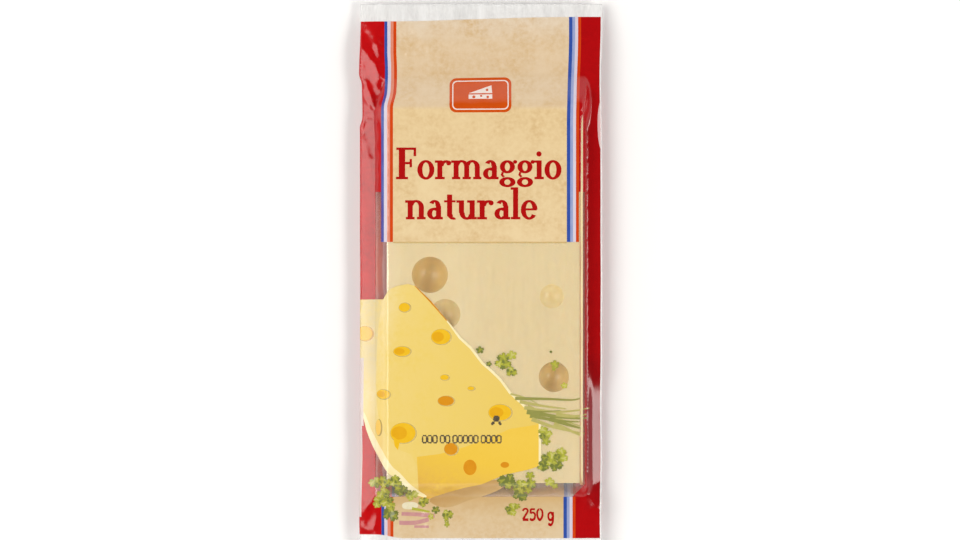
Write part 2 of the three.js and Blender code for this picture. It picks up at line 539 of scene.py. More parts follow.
def letters():
    """Outlines and width of each letter that the packet needs."""
    ring = bow(4.7, 5, 4.5, 5.2, 0, 360, 36)
    return {
        "F": ([rectangle(1.4, 0, 4.8, TALL), slab(3.1, 0, 6.4),
               rectangle(0.1, TALL - 1.3, 10.6, TALL), rectangle(9.2, TALL - 4.6, 10.6, TALL),
               rectangle(2.9, 7.9, 8.2, 9.2), rectangle(7.1, 6.3, 8.4, 10.8)], 11.0),
        "o": ([ring], 9.5),
        "r": ([post(2.6, 0, 10), slab(2.6, 0, 5.2), flag(2.6, 10), bow(6.0, 6.2, 4.2, 3.9, 55, 165),
               ellipse(7.3, 8.6, 1.35, 1.3)], 8.6),
        "m": ([post(2.6, 0, 10), post(8.2, 0, 6.6), post(13.8, 0, 6.6), flag(2.6, 10),
               *(slab(x, 0, 4.4) for x in (2.6, 8.2, 13.8)), shoulder(2.8, 8.2),
               shoulder(8.4, 13.8)], 16.4),
        "a": ([post(6.4, 0, 7), bow(4.3, 7.0, 3.2, 3.2, 0, 150), bow(4.0, 3.0, 3.6, 3.1, 50, 320),
               rectangle(6.4, 0, 8.7, SLAB), rectangle(4.0, 5.2, 6.4, 6.2)], 8.9),
        "g": ([bow(4.4, 6.6, 4.0, 3.5, 0, 360, 30), bow(4.4, -1.5, 4.3, 2.7, 0, 360, 30),
               band([(2.0, 3.8), (1.5, 2.4), (2.6, 1.2)], [1.2, 1.4, 1.2]),
               ellipse(8.5, 9.2, 1.1, 1.0)], 9.3),
        "i": ([post(2.6, 0, 10), slab(2.6, 0, 5.0), flag(2.6, 10), ellipse(2.5, 13.4, 1.4, 1.4)],
              5.2),
        "n": ([post(2.6, 0, 10), post(8.4, 0, 6.6), flag(2.6, 10), slab(2.6, 0, 4.6),
               slab(8.4, 0, 4.6), shoulder(2.8, 8.4)], 11.0),
        "t": ([post(3.3, 1.6, 13), rectangle(0.4, 8.9, 6.4, 10),
               bow(5.3, 2.6, 3.05, 2.8, 180, 300)], 6.9),
        "u": ([post(2.6, 3.4, 10), post(8.2, 0, 10), flag(2.6, 10), flag(8.2, 10),
               rectangle(8.2, 0, 10.6, SLAB), bow(5.4, 3.6, 3.85, 3.8, 180, 340)], 10.8),
        "l": ([post(2.6, 0, TALL), slab(2.6, 0, 5.0), flag(2.6, TALL)], 5.2),
        "e": ([bow(4.5, 5, 4.4, 5.2, 2, 325), rectangle(1.4, 4.7, 8.5, 5.8)], 9.3),
    }


FIGURES = {
    "2": ([along([(0.6, 7.4), (1.8, 9.3), (4.2, 9.4), (5.2, 7.3), (3.4, 4.2), (0.7, 0.8)]),
           [(0.5, 0.7), (5.9, 0.7)]], 6.6),
    "5": ([[(5.4, 9.2), (1.5, 9.2)], [(1.5, 9.5), (1.2, 5.2)],
           along([(1.2, 5.4), (3.4, 6.1), (5.4, 4.6), (5.0, 1.6), (2.8, 0.5), (0.6, 1.3)])], 6.8),
    "0": ([along([(3.1, 9.5), (5.3, 7.6), (5.5, 3.2), (3.1, 0.5), (0.9, 3.2), (1.0, 7.6),
                  (3.1, 9.5)])], 7.0),
    " ": ([], 3.2),
    "g": ([along([(5.0, 3.2), (3.4, 6.2), (1.0, 4.4), (1.6, 1.0), (4.2, 0.8), (5.0, 3.2)]),
           along([(5.3, 6.6), (5.3, 0.0), (3.4, -2.7), (0.9, -1.9)])], 6.6),
}


def word(text, left, base, width):
    """Outlines of a word in slab letters, fitted between left and left + width."""
    glyphs = letters()
    scale = width / sum(glyphs[letter][1] for letter in text)
    made, x = [], left
    for letter in text:
        outlines, advance = glyphs[letter]
        made += [[(x + u * scale, base + v * scale) for u, v in outline] for outline in outlines]
        x += advance * scale
    return made


def figures(text, left, base, scale, pen):
    """Outlines of a few figures drawn with a round pen."""
    made, x = [], left
    for figure in text:
        strokes, advance = FIGURES[figure]
        for stroke in strokes:
            line = [(x + u * scale, base + v * scale) for u, v in stroke]
            made.append(band(line, [pen] * len(line)))
        x += advance * scale
    return made


# ---- the print -----------------------------------------------------------------------------------

PRINT_LOW, PRINT_HIGH, PRINT_RIGHT = -113.0, 114.6, 52.7  # ends and right side of the print
WINDOW_TOP = 37.1
# Below the window's top, these strips carry painted shade along the block's right edge.
EDGE_STRIPS = ((43.4, 44.7), (44.7, 45.9))  # left and right of two strips by the block's right edge
LABEL = (-38.6, 15.1, 37.7)  # left, lower end and right of the upper parchment panel
FOOT_LABEL_TOP = -97.2
FOOT_SHIFT = -1.3  # the lower panel's right side stands this much further left
LEFT_STRIPES = [("blue_ink", 1.3), ("white_ink", 1.4), ("salmon_ink", 1.3), ("orange_ink", 1.3)]
RIGHT_STRIPES = [("blue_ink", 1.5), ("pale_blue_ink", 1.2), ("white_ink", 1.3), ("orange_ink", 1.3)]
BADGE_PLACE = (-0.2, 80.1)
BADGE_WEDGE_LIFT = 1.2
WINDOW = [(-46.5, -97.2), (40.4, -97.2), (45.6, -91.4), (45.6, WINDOW_TOP),
          (-46.5, WINDOW_TOP)]

WEDGE = [(-54.4, -10.3), (-43.0, -10.1), (-40.4, -5.9), (-36.9, -4.2), (-32.0, -3.3),
         (-29.0, -4.2), (-22.4, -10.8), (-14.9, -19.5), (-9.2, -27.0), (-4.4, -31.4),
         (0.7, -38.1), (5.3, -42.1), (8.8, -45.6), (12.8, -51.1), (16.8, -54.7), (20.4, -58.2),
         (23.4, -61.8), (25.9, -64.3), (25.9, -83.2), (20.4, -84.9), (10.3, -87.1), (0.2, -91.3),
         (-8.0, -93.1), (-18.2, -96.3), (-24.1, -98.5), (-28.1, -96.8), (-33.4, -92.7),
         (-37.5, -88.4), (-41.5, -84.9), (-45.5, -77.8), (-48.0, -73.1), (-50.2, -68.2),
         (-54.4, -52.0)]
WEDGE_SIDE = [(-54.4, -10.3), (-43.0, -10.1), (-45.6, -23.5), (-46.5, -54.2), (-44.3, -65.2),
              (-37.7, -75.3), (-28.1, -79.2), (-27.2, -97.2), *WEDGE[26:]]
WEDGE_FRONT = [(-28.1, -79.2), (-18.0, -77.9), (-7.0, -74.8), (3.9, -70.9), (12.7, -66.9),
               (23.7, -65.2), *WEDGE[17:25], (-27.2, -97.2)]
WEDGE_RIM = WEDGE[7:19]
WEDGE_SHADE = WEDGE[5:8]
WEDGE_SKIRT = [(-51.8, -60.0), (-49.6, -67.4), (-47.2, -72.8), (-44.4, -77.8), (-40.2, -84.4),
               (-36.4, -87.6), (-32.4, -91.8), (-27.4, -95.6), (-24.0, -97.2)]
WEDGE_SHADOW = [(-24.6, -98.0), (-8.0, -92.6), (2.0, -89.8), (12.0, -88.6), (10.0, -93.0),
                (2.0, -96.8), (-6.0, -98.8), (-13.0, -102.0), (-19.0, -101.8)]

# Eyes of the printed wedge: middle, half widths and ink.
WEDGE_EYES = [
    (-33.6, -13.6, 2.4, 1.9, "eye_ink"), (-17.6, -26.5, 4.2, 3.3, "eye_ink"),
    (-34.7, -32.9, 3.7, 2.1, "eye_ink"), (-51.3, -25.2, 3.5, 3.1, "pale_eye_ink"),
    (-16.0, -44.3, 1.8, 1.1, "eye_ink"), (-4.4, -49.1, 1.4, 0.8, "eye_ink"),
    (-43.0, -51.8, 2.9, 2.0, "eye_ink"), (-15.4, -54.6, 3.5, 2.1, "deep_eye_ink"),
    (8.3, -59.7, 5.0, 3.5, "eye_ink"), (-34.2, -68.7, 5.5, 4.4, "eye_ink"),
    (-45.2, -66.5, 1.2, 3.5, "pale_eye_ink"), (-13.2, -75.7, 2.9, 2.6, "deep_eye_ink"),
    (-4.8, -83.8, 2.9, 3.4, "deep_eye_ink"), (10.5, -82.7, 1.9, 1.3, "deep_eye_ink"),
]

# Parsley: middle, size, turn and which green.
LEAVES = [
    (-0.4, -32.3, 3.6, 0.4, 0), (3.5, -38.4, 2.6, 0.0, 0), (9.7, -37.5, 7.2, 0.9, 1),
    (13.6, -34.6, 4.4, 0.5, 2), (13.4, -41.8, 4.6, -1.0, 1), (30.7, -33.1, 1.3, 0.2, 0),
    (32.5, -38.6, 4.0, 1.6, 1), (32.0, -40.6, 2.0, 1.5, 1), (36.6, -47.9, 3.0, -0.8, 2),
    (28.0, -68.9, 6.0, 1.4, 2), (28.6, -72.4, 4.0, 1.2, 1), (29.8, -80.1, 7.0, 0.2, 2),
    (27.2, -83.2, 5.0, 1.0, 0),
    (35.0, -78.6, 6.4, 0.8, 2), (33.0, -82.9, 5.4, -0.6, 0), (11.4, -90.0, 7.4, 2.4, 0),
    (16.6, -92.2, 6.2, 0.3, 2), (20.6, -92.0, 6.8, 0.0, 1), (17.4, -96.2, 6.2, -1.4, 0),
    (21.6, -87.4, 4.0, 1.0, 1), (30.1, -90.2, 4.4, 0.2, 2), (32.4, -92.0, 3.2, -0.6, 1),
    (13.4, -102.7, 5.6, 0.4, 2), (16.0, -101.4, 3.0, 0.9, 1), (-46.6, -91.0, 5.2, 2.6, 2),
    (-42.3, -90.4, 5.6, 1.6, 1), (-37.5, -90.2, 5.6, 1.0, 1), (-35.4, -94.0, 5.8, -0.2, 0),
    (-42.8, -95.8, 6.0, 3.0, 2), (-45.2, -99.6, 5.0, 3.6, 2), (-40.8, -100.0, 6.2, -1.6, 2),
    (-39.8, -104.4, 6.6, -1.2, 0), (-30.6, -96.2, 5.4, -0.4, 2), (-25.4, -99.4, 4.6, -0.2, 1),
    (-19.9, -103.0, 3.8, -0.3, 0), (-14.8, -104.9, 4.6, -0.5, 1), (-15.0, -108.0, 2.4, -1.5, 1),
    (-22.0, -105.6, 2.6, 0.6, 2),
]
GREENS = ("deep_leaf_ink", "leaf_ink", "bright_leaf_ink")
HEARTS = ("leaf_ink", "bright_leaf_ink", "pale_leaf_ink")

# Chives: points along each, its width at the root and whether it is the darker green.
CHIVES = [
    ([(20.5, -57.0), (30.0, -61.0), (45.0, -66.2)], 1.5, False),
    ([(13.0, -51.6), (20.0, -53.4), (25.0, -56.0)], 0.9, False),
    ([(15.0, -53.6), (29.4, -53.8), (40.4, -54.2), (44.8, -52.9)], 1.4, True),
    ([(17.0, -55.0), (28.1, -57.0), (37.3, -58.1)], 1.5, False),
    ([(19.0, -57.6), (32.9, -59.5), (47.8, -58.1)], 1.6, False),
    ([(20.1, -59.4), (34.7, -61.7), (47.0, -62.5)], 2.1, True),
    ([(21.5, -61.2), (34.7, -63.4), (43.4, -63.8)], 1.7, True),
    ([(22.3, -62.6), (32.5, -66.3), (45.6, -69.1)], 1.9, False),
    ([(21.0, -59.0), (27.0, -59.4), (35.0, -58.8)], 1.1, True),
    ([(30.0, -62.4), (38.0, -65.0), (45.2, -67.0)], 2.2, True),
    ([(33.0, -60.4), (40.0, -61.4), (46.5, -60.8)], 2.0, False),
    ([(32.0, -64.8), (39.0, -67.6), (45.0, -70.4)], 2.0, False),
]

ONION = [
    ([(-35.0, -104.6), (-26.0, -105.0), (-20.4, -105.4)], 1.5),
    ([(-36.0, -107.6), (-29.0, -107.6), (-23.0, -106.6)], 1.3),
    ([(-29.4, -108.8), (-23.0, -108.8)], 0.8),
]


def stripes(left, right, low, high):
    """The stripes down each side of a parchment panel."""
    made = []
    total = sum(width for _, width in LEFT_STRIPES)
    for x, order in ((left - total, LEFT_STRIPES), (right, RIGHT_STRIPES)):
        for ink, width in order:
            made.append((ink, rectangle(x, low, x + width, high)))
            x += width
    return made


def panel(left, right, low, high):
    """A parchment panel with its stripes."""
    return [("parchment_ink", rectangle(left, low, right, high)), *stripes(left, right, low, high)]


def badge():
    """A plain badge above the title: a tile with a border line and a small wedge on it."""
    x, y = BADGE_PLACE
    tile = [
        ("badge_ink", rounded(x - 13.6, y - 8.0, x + 13.6, y + 8.0, 3.0)),
        ("badge_mark_ink", rounded(x - 12.4, y - 6.8, x + 12.4, y + 6.8, 2.1)),
        ("badge_ink", rounded(x - 11.9, y - 6.3, x + 11.9, y + 6.3, 1.7)),
    ]
    y += BADGE_WEDGE_LIFT
    wedge = [
        ("badge_mark_ink", [(x - 5.2, y - 0.4), (x + 4.8, y + 3.2), (x + 5.2, y - 0.4)]),
        ("badge_mark_ink", rectangle(x - 5.2, y - 3.0, x + 5.2, y - 1.0)),
    ]
    holes = [(x - 2.9, y - 2.1, 0.7), (x + 0.3, y - 1.7, 0.5), (x + 3.2, y - 2.2, 0.6),
             (x + 2.9, y + 1.1, 0.6)]
    return tile + wedge + [("badge_ink", ellipse(u, v, r, r, 14)) for u, v, r in holes]


def wedge_picture():
    """The printed wedge, from its faces to its eyes."""
    skirt = along(WEDGE_SKIRT, 3)
    made = [
        ("wedge_shadow_ink", rounded_path(WEDGE_SHADOW)),
        ("wedge_top_ink", WEDGE),
        ("wedge_side_ink", rounded_path(WEDGE_SIDE, 1)),
        ("wedge_front_ink", WEDGE_FRONT),
        ("wedge_skirt_ink", band(skirt, thin_ended(skirt, 3.2))),
        ("wedge_rim_ink", band(WEDGE_RIM, [0.5] + [1.1] * (len(WEDGE_RIM) - 1))),
        ("deep_eye_ink", band(WEDGE_SHADE, [0.3, 0.7, 0.3])),
    ]
    for x, y, across, up, ink in WEDGE_EYES:
        if y > -80:
            made.append(("eye_glow_ink", ellipse(x + 0.3, y - 0.1, across + 0.4, up + 0.3)))
        made.append((ink, ellipse(x, y, across, up)))
        if across > 2.5 and ink == "eye_ink":
            made.append(("eye_shade_ink", ellipse(x - 0.3 * across, y, across * 0.62, up * 0.66)))
    made.append(("eye_ink", [(-38.6, -70.0), (-35.6, -72.6), (-36.4, -76.2), (-37.8, -74.6)]))
    return made


def thin_ended(line, width):
    """Widths along a line that grow from nothing and shrink again."""
    last = len(line) - 1
    return [width * math.sin(math.pi * (i + 0.3) / (last + 0.6)) ** 0.5 for i in range(last + 1)]


def herbs():
    """The printed parsley, chives and onion."""
    made = [("onion_ink", band(along(points), [width] * (5 * len(points) - 4)))
            for points, width in ONION]
    made.append(("cream_ink", rounded_path([(-35, -99.6), (-28, -99.4), (-27.4, -102.4),
                                            (-34.6, -103)])))
    made.append(("bright_leaf_ink", band([(-30.4, -102.4), (-22.6, -103.8)], [1.3, 0.8])))
    for points, width, dark in CHIVES:
        line = along(points)
        widths = [width * (1 - 0.75 * i / (len(line) - 1)) for i in range(len(line))]
        made.append(("deep_chive_ink" if dark else "chive_ink", band(line, widths)))
    for x, y, size, turn, green in LEAVES:
        if size > 4.5:
            made.append((GREENS[max(green - 1, 0)], leaf(x, y, size, turn)))
            for k, (near, share) in enumerate(((0.3, 0.58), (0.26, 0.5), (0.3, 0.54))):
                angle = turn + 0.6 + 2.1 * k
                u, v = x + near * size * math.cos(angle), y + near * size * math.sin(angle)
                made += sprig(u, v, size * share, angle, (green + (k == 1)) % 3)
        else:
            made += sprig(x, y, size, turn, green)
    return made


def sprig(x, y, size, turn, green):
    """One leaf with lighter veins."""
    made = [(GREENS[green], leaf(x, y, size, turn))]
    for k in range(3 if size > 2.0 else 0):
        angle = turn + 1.25 + 2.5 * k
        u, v = x + 0.36 * size * math.cos(angle), y + 0.34 * size * math.sin(angle)
        made.append((HEARTS[green], band([(x, y), (u, v)], [0.24 * size, 0.1 * size])))
    return made


def front_print():
    """Every shape on the front web, from the lowest ink to the highest."""
    left, low, right = LABEL
    rim_shade_strip, shade_strip = EDGE_STRIPS
    made = [
        ("red_ink", rectangle(PACKET_LOW[0], PRINT_LOW, PRINT_RIGHT, PRINT_HIGH)),
        *(("red_ink", rectangle(a, WINDOW_TOP, b, 76)) for a, b in EDGE_STRIPS),
        ("low_red_ink", rectangle(46.6, -102, PRINT_RIGHT, -34)),
        ("sealed_film", ellipse(53.4, 66.5, 1.9, 11)),  # a painted highlight: bare film on the right edge
        ("clear_film", WINDOW),
        *panel(left, right, low, PRINT_HIGH),
        # a painted shadow that the label's lower edge casts on the cheese
        ("label_shadow_ink", rectangle(left, low - 0.55, right, low + 0.1)),
        *panel(left, right + FOOT_SHIFT, PRINT_LOW, FOOT_LABEL_TOP),
        *wedge_picture(),
        # pale lilac strips down the left edge: film with a bare look and a painted highlight on it
        ("pale_edge_highlight_ink", rectangle(PACKET_LOW[0], -66, -51.8, -36)),
        ("pale_edge_highlight_ink", rectangle(PACKET_LOW[0], -106, -52.5, -66)),
        # painted shade along the block's right edge: a tan strip over its lit rim, a darker one
        # beside it
        ("rim_shade_ink", rectangle(rim_shade_strip[0], -91.6, rim_shade_strip[1], WINDOW_TOP)),
        ("edge_shade_ink", rectangle(shade_strip[0], -91.6, shade_strip[1], WINDOW_TOP)),
        *herbs(),
        *badge(),
    ]
    title = word("Formaggio", -37.2, 42.6, 72.8) + word("naturale", -33.2, 25.0, 58.4)
    made += [("title_ink", outline) for outline in title]
    made += [("title_ink", outline) for outline in figures("250 g", 18.2, -107.0, 0.47, 0.85)]
    return made


def back_print():
    """Every shape on the back web, which nothing but panels and stripes is printed on."""
    left, right = LABEL[0] + 4.6, LABEL[2] - 1
    return [
        ("red_ink", rectangle(PACKET_LOW[0], PRINT_LOW, PRINT_RIGHT, PRINT_HIGH)),
        *panel(left, right, 1.5, PRINT_HIGH),
        *panel(left, right, PRINT_LOW, -84.0),
    ]


# ---- from print to film --------------------------------------------------------------------------


def dense(outline, step):
    """The outline with points no further apart than step, kept inside the packet."""
    points = []
    ring = outline[1:] + outline[:1]
    for (ax, ay), (bx, by) in zip(outline, ring):
        count = max(1, math.ceil(math.hypot(bx - ax, by - ay) / step))
        points += [(ax + (bx - ax) * i / count, ay + (by - ay) * i / count) for i in range(count)]
    low, high = PACKET_LOW, PACKET_HIGH
    return [(min(max(x, low[0]), high[0]), min(max(y, low[1]), high[1])) for x, y in points]


def inside(outline, x, y):
    """Which points lie inside an outline."""
    found = np.zeros(len(x), bool)
    corners = np.array(outline)
    (low_x, low_y), (high_x, high_y) = corners.min(0), corners.max(0)
    near = np.flatnonzero((x > low_x) & (x < high_x) & (y > low_y) & (y < high_y))
    if not len(near):
        return found
    px, py = x[near], y[near]
    odd = np.zeros(len(near), bool)
    for (ax, ay), (bx, by) in zip(corners, np.roll(corners, -1, 0)):
        if ay != by:
            crosses = (ay > py) != (by > py)
            odd ^= crosses & (px < ax + (py - ay) * (bx - ax) / (by - ay))
    found[near] = odd
    return found


def grid_points(spacing, outlines):
    """Points over the packet in a staggered grid, clear of the outlines' own points."""
    tree = kdtree.KDTree(sum(len(o) for o in outlines))
    for i, (x, y) in enumerate(p for outline in outlines for p in outline):
        tree.insert((x, y, 0), i)
    tree.balance()
    rows = np.arange(PACKET_LOW[1] + spacing / 2, PACKET_HIGH[1], spacing * 0.87)
    points = []
    for k, y in enumerate(rows):
        first = PACKET_LOW[0] + spacing * (0.5 if k % 2 else 1.0)
        for x in np.arange(first, PACKET_HIGH[0] - 0.3, spacing):
            if tree.find((x, y, 0))[2] > 0.4 * spacing:
                points.append((float(x), float(y)))
    return points


def print_mesh(shapes, base, spacing):
    """Triangles over the flat packet, split along the print's outlines, and each one's ink."""
    edge = rectangle(*PACKET_LOW, *PACKET_HIGH)
    outlines = [dense(edge, spacing)] + [dense(outline, spacing) for _, outline in shapes]
    coords, edges = [], []
    for outline in outlines:
        first, count = len(coords), len(outline)
        coords += outline
        edges += [(first + i, first + (i + 1) % count) for i in range(count)]
    coords += grid_points(spacing, outlines)
    flat = [Vector(c) for c in coords]
    verts, _, faces, *_ = delaunay_2d_cdt(flat, edges, [], 0, 1e-3)
    points = np.array([tuple(v) for v in verts])
    corners = points[np.array(faces)]
    (ax, ay), (bx, by), (cx, cy) = (corners[:, i].T for i in range(3))
    area = (bx - ax) * (cy - ay) - (cx - ax) * (by - ay)
    faces = [f if a > 0 else f[::-1] for f, a in zip(faces, area) if abs(a) > 1e-6]
    middle = np.array([points[list(f)].mean(0) for f in faces])
    inks = np.full(len(faces), base, object)
    for (ink, _), outline in zip(shapes, outlines[1:]):
        inks[inside(outline, middle[:, 0], middle[:, 1])] = ink
    return points, faces, inks


def web(context, node, shapes, materials, inner=()):
    """One web of film: the printed sheet laid on its surface, with its thickness inside the print.

    materials are its inks by name, and inner their looks from inside. Without inner, the last of
    the materials covers the whole inside.
    """
    settings = context.scene.packet_film
    surface = Surface(settings)
    front = node == "front_film"
    spacing = settings.grid / MM * (1 if front else BACK_GRID)
    points, faces, inks = print_mesh(shapes, "sealed_film", spacing)
    x, y = points.T
    height = surface.front(x, y) if front else surface.back(x, y)
    mesh = bpy.data.meshes.new(node + "_sheet")
    mesh.from_pydata(
        np.column_stack([*surface.gather(x, y), height]) * MM, [],
        faces if front else [face[::-1] for face in faces],
    )
    for material in (*materials.values(), *inner):
        mesh.materials.append(material)
    order = list(materials)
    mesh.polygons.foreach_set("material_index", [order.index(ink) for ink in inks])
    mesh.shade_smooth()
    mesh.update()
    piece = new_object(mesh.name, mesh)
    wall = piece.modifiers.new("wall", "SOLIDIFY")
    wall.thickness = settings.thickness
    wall.offset = -1 if front else 1
    wall.material_offset = len(materials)
    applied(piece)
    settle(piece, node, node)


# ---- finishes ------------------------------------------------------------------------------------

WHITE = (1, 1, 1, 1)
FILM_IOR = 1.48
FILM_BUMP = 0.02  # height of the film's unevenness
EYE_SHADE_DEPTH = 9.0  # below a cut face, where an eye's lining has its full, darkest painted shade
CHEESE_LIGHT = {  # how light enters cheese and spreads in it
    "IOR": 1.45, "Subsurface Radius": (1.0, 0.6, 0.3), "Subsurface Scale": 3.0 * MM,
}


def surface_bump(tree, place, spacing, depth, detail=2.0):
    """A bump from noise whose grains are spacing millimetres apart and depth millimetres high."""
    noise = add(
        tree, "ShaderNodeTexNoise",
        {"Vector": place, "Scale": 1 / (spacing * MM), "Detail": detail},
    )
    return add(
        tree, "ShaderNodeBump",
        {"Height": noise.outputs["Fac"], "Strength": 1.0, "Distance": depth * MM},
    ).outputs["Normal"]


def patches(tree, place, spacing, contrast=0.5, detail=4.0):
    """A factor that drifts from 0 to 1 in patches spacing millimetres apart."""
    noise = add(
        tree, "ShaderNodeTexNoise",
        {"Vector": place, "Scale": 1 / (spacing * MM), "Detail": detail, "Roughness": 0.6},
    )
    return add(
        tree, "ShaderNodeMapRange",
        {"Value": noise.outputs["Fac"], "From Min": 0.5 - contrast / 2,
         "From Max": 0.5 + contrast / 2},
    ).outputs["Result"]


def colour_run(tree, place, start, end, stops):
    """A colour that changes from stop to stop between two places, given in millimetres."""
    run = np.array(end, float) - np.array(start, float)
    size = float(np.dot(run, run))
    from_start = add(
        tree, "ShaderNodeVectorMath",
        {0: place, 1: (start[0] * MM, start[1] * MM, 0)}, operation="SUBTRACT",
    )
    share = add(
        tree, "ShaderNodeVectorMath",
        {0: from_start.outputs[0], 1: (run[0] / size / MM, run[1] / size / MM, 0)},
        operation="DOT_PRODUCT",
    )
    ramp = add(tree, "ShaderNodeValToRGB", {"Fac": share.outputs["Value"]})
    elements = ramp.color_ramp.elements
    for _ in stops[2:]:
        elements.new(0.5)
    for element, (position, code) in zip(elements, stops):
        element.position = position
        element.color = srgb(code)
    return ramp.outputs["Color"]


def ink(name, first, second, cover=1.0, spacing=5.0, run=None, roughness=0.16):
    """Gravure ink under glossy clear film: full colour that drifts a little, with a wet shine.

    cover is how much of what lies behind the ink hides. run is a run of colour, as a start, an end
    and its stops, that takes the place of the first colour.
    """

    def film_ink(tree, place):
        base = colour_run(tree, place, *run) if run else srgb(first)
        drift = patches(tree, place, spacing)
        if run:
            drift = add(
                tree, "ShaderNodeMath", {0: drift, 1: patches(tree, place, 11.0), 2: 0.08},
                operation="MULTIPLY_ADD",
            ).outputs[0]
        mixed = add(
            tree, "ShaderNodeMix", {0: drift, 6: base, 7: srgb(second)}, data_type="RGBA"
        )
        return add(
            tree, "ShaderNodeBsdfPrincipled",
            {
                "Base Color": mixed.outputs[2],
                "Roughness": roughness,
                "IOR": FILM_IOR,
                "Alpha": cover,
                "Normal": surface_bump(tree, place, 4.0, FILM_BUMP),
            },
        )

    return new_material(name, film_ink)


def clear_film(name, haze, tint):
    """Clear polyester film: nothing but a thin shine and a breath of haze over what it covers."""

    def bare_film(tree, place):
        normal = surface_bump(tree, place, 5.0, FILM_BUMP)
        facing = add(tree, "ShaderNodeLayerWeight", {"Blend": 0.5, "Normal": normal})
        steep = add(
            tree, "ShaderNodeMath", {0: facing.outputs["Facing"], 1: 4.0}, operation="POWER"
        )
        shine = add(
            tree, "ShaderNodeMath", {0: steep.outputs[0], 1: 0.7, 2: 0.04},
            operation="MULTIPLY_ADD",
        )
        through = add(tree, "ShaderNodeBsdfTransparent", {"Color": WHITE})
        milk = add(tree, "ShaderNodeBsdfDiffuse", {"Color": srgb(tint)})
        pulled = add(tree, "ShaderNodeMapping", {"Vector": place, "Scale": (1, 0.14, 1)})
        streaks = add(
            tree, "ShaderNodeMapRange",
            {"Value": patches(tree, pulled.outputs[0], 5.0, 0.7),
             "To Min": haze * 0.4, "To Max": haze * 1.6},
        )
        body = add(
            tree, "ShaderNodeMixShader",
            {0: streaks.outputs["Result"], 1: through.outputs[0], 2: milk.outputs[0]},
        )
        gloss = add(
            tree, "ShaderNodeBsdfGlossy", {"Color": WHITE, "Roughness": 0.15, "Normal": normal}
        )
        return add(
            tree, "ShaderNodeMixShader",
            {0: shine.outputs[0], 1: body.outputs[0], 2: gloss.outputs[0]},
        )

    return new_material(name, bare_film)


def cheese_paste(name, settings):
    """Cut hard cheese: pale, dense and a little waxy, so light sinks in, with soft mottling."""

    def waxy(tree, place):
        broad = add(
            tree, "ShaderNodeMix",
            {0: patches(tree, place, 34.0, 0.6), 6: tuple(settings.paste), 7: srgb("#dfc890")},
            data_type="RGBA",
        )
        fine = add(
            tree, "ShaderNodeMix",
            {0: patches(tree, place, 2.4, 0.9), 6: broad.outputs[2], 7: srgb("#ead8a8")},
            data_type="RGBA",
        )
        return add(
            tree, "ShaderNodeBsdfPrincipled",
            {
                "Base Color": fine.outputs[2],
                "Roughness": 0.42,
                "Subsurface Weight": 0.3,
                "Normal": surface_bump(tree, place, 1.6, 0.05, 4.0),
                **CHEESE_LIGHT,
            },
        )

    return new_material(name, waxy)


def eye_lining(name, settings):
    """The wall of a gas hole, a moist skin: its pale rim is painted light, its deeper colour lower
    down painted shade.
    """
    middle, half = (CHEESE[0][2] + CHEESE[1][2]) / 2, (CHEESE[1][2] - CHEESE[0][2]) / 2

    def moist(tree, place):
        height = add(tree, "ShaderNodeSeparateXYZ", {"Vector": place}).outputs["Z"]
        off = add(tree, "ShaderNodeMath", {0: height, 1: middle * MM}, operation="SUBTRACT")
        away = add(tree, "ShaderNodeMath", {0: off.outputs[0]}, operation="ABSOLUTE")
        # pale at the rim and darker with depth: a painted highlight on the rim and painted shade
        # down in the hole
        depth = add(
            tree, "ShaderNodeMapRange",
            {"Value": away.outputs[0], "From Min": half * MM,
             "From Max": (half - EYE_SHADE_DEPTH) * MM},
        )
        tone = add(
            tree, "ShaderNodeMix",
            {0: depth.outputs["Result"], 6: srgb("#f2e4b6"), 7: tuple(settings.deep)},
            data_type="RGBA",
        )
        mottled = add(
            tree, "ShaderNodeMix",
            {0: patches(tree, place, 5.0, 0.9), 6: tone.outputs[2], 7: srgb("#e8ca78")},
            data_type="RGBA",
        )
        return add(
            tree, "ShaderNodeBsdfPrincipled",
            {"Base Color": mottled.outputs[2], "Roughness": 0.3, "Subsurface Weight": 0.25,
             **CHEESE_LIGHT},
        )

    return new_material(name, moist)


